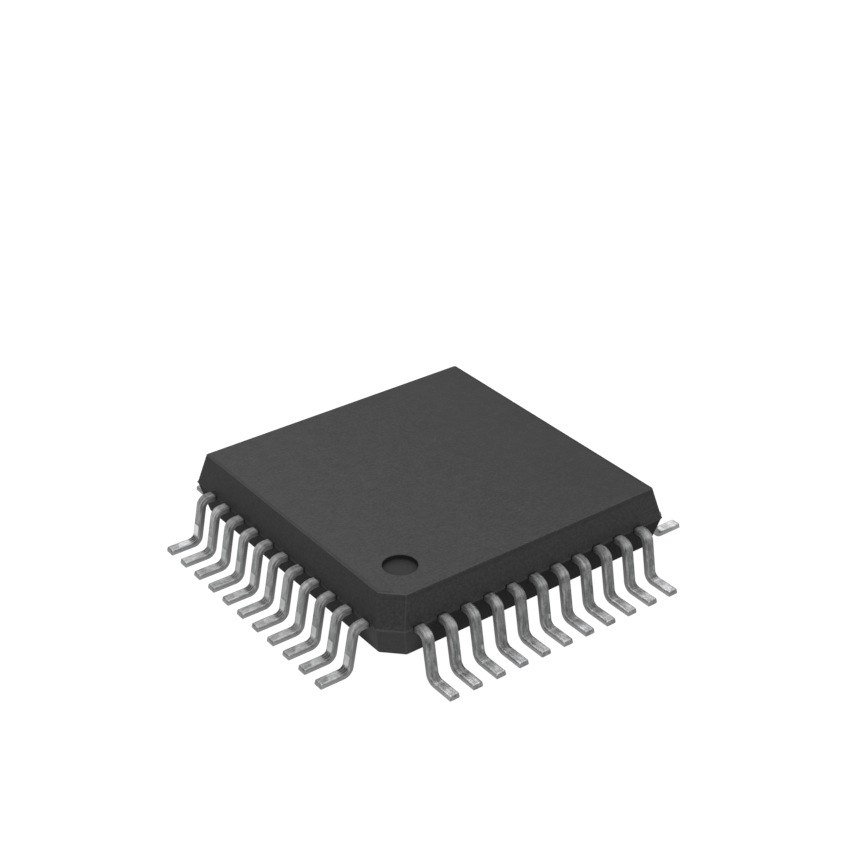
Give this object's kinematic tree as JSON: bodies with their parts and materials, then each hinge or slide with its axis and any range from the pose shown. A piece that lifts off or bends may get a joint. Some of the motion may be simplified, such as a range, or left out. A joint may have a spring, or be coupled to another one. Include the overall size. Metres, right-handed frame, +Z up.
{
  "type": "quad flat package integrated circuit",
  "caption": "Square dark moulded chip package with gull-wing leads on all four sides, a cut-off index corner and a round index mark in the top.",
  "frame": {"origin": "centre of the footprint, on the plane that the undersides of the feet stand on", "axes": "+Z up out of the marked top; the index corner, with the round mark and the chamfer, is at -X, -Y; rows of leads run along X and Y"},
  "size_m": [0.0132, 0.0132, 0.0025],
  "materials": {
    "moulding_compound": "fine matte grain of filled epoxy",
    "tinned_leads": "satin tin plating with fine drawn streaks",
    "leadframe_alloy": "satin bare copper alloy",
    "die_glue": "dull silver-filled epoxy",
    "silicon": "polished silicon",
    "bond_wire": "bright gold"
  },
  "bodies": {
    "root": {"mould_body": "moulding_compound", "die_paddle": "leadframe_alloy", "die_attach": "die_glue", "die": "silicon", "lead_01": "tinned_leads", "lead_02": "tinned_leads", "lead_03": "tinned_leads", "lead_04": "tinned_leads", "lead_05": "tinned_leads", "lead_06": "tinned_leads", "lead_07": "tinned_leads", "lead_08": "tinned_leads", "lead_09": "tinned_leads", "lead_10": "tinned_leads", "lead_11": "tinned_leads", "lead_12": "tinned_leads", "lead_13": "tinned_leads", "lead_14": "tinned_leads", "lead_15": "tinned_leads", "lead_16": "tinned_leads", "lead_17": "tinned_leads", "lead_18": "tinned_leads", "lead_19": "tinned_leads", "lead_20": "tinned_leads", "lead_21": "tinned_leads", "lead_22": "tinned_leads", "lead_23": "tinned_leads", "lead_24": "tinned_leads", "lead_25": "tinned_leads", "lead_26": "tinned_leads", "lead_27": "tinned_leads", "lead_28": "tinned_leads", "lead_29": "tinned_leads", "lead_30": "tinned_leads", "lead_31": "tinned_leads", "lead_32": "tinned_leads", "lead_33": "tinned_leads", "lead_34": "tinned_leads", "lead_35": "tinned_leads", "lead_36": "tinned_leads", "lead_37": "tinned_leads", "lead_38": "tinned_leads", "lead_39": "tinned_leads", "lead_40": "tinned_leads", "lead_41": "tinned_leads", "lead_42": "tinned_leads", "lead_43": "tinned_leads", "lead_44": "tinned_leads", "bond_wires_front": "bond_wire", "bond_wires_right": "bond_wire", "bond_wires_back": "bond_wire", "bond_wires_left": "bond_wire"}
  },
  "joints": []
}
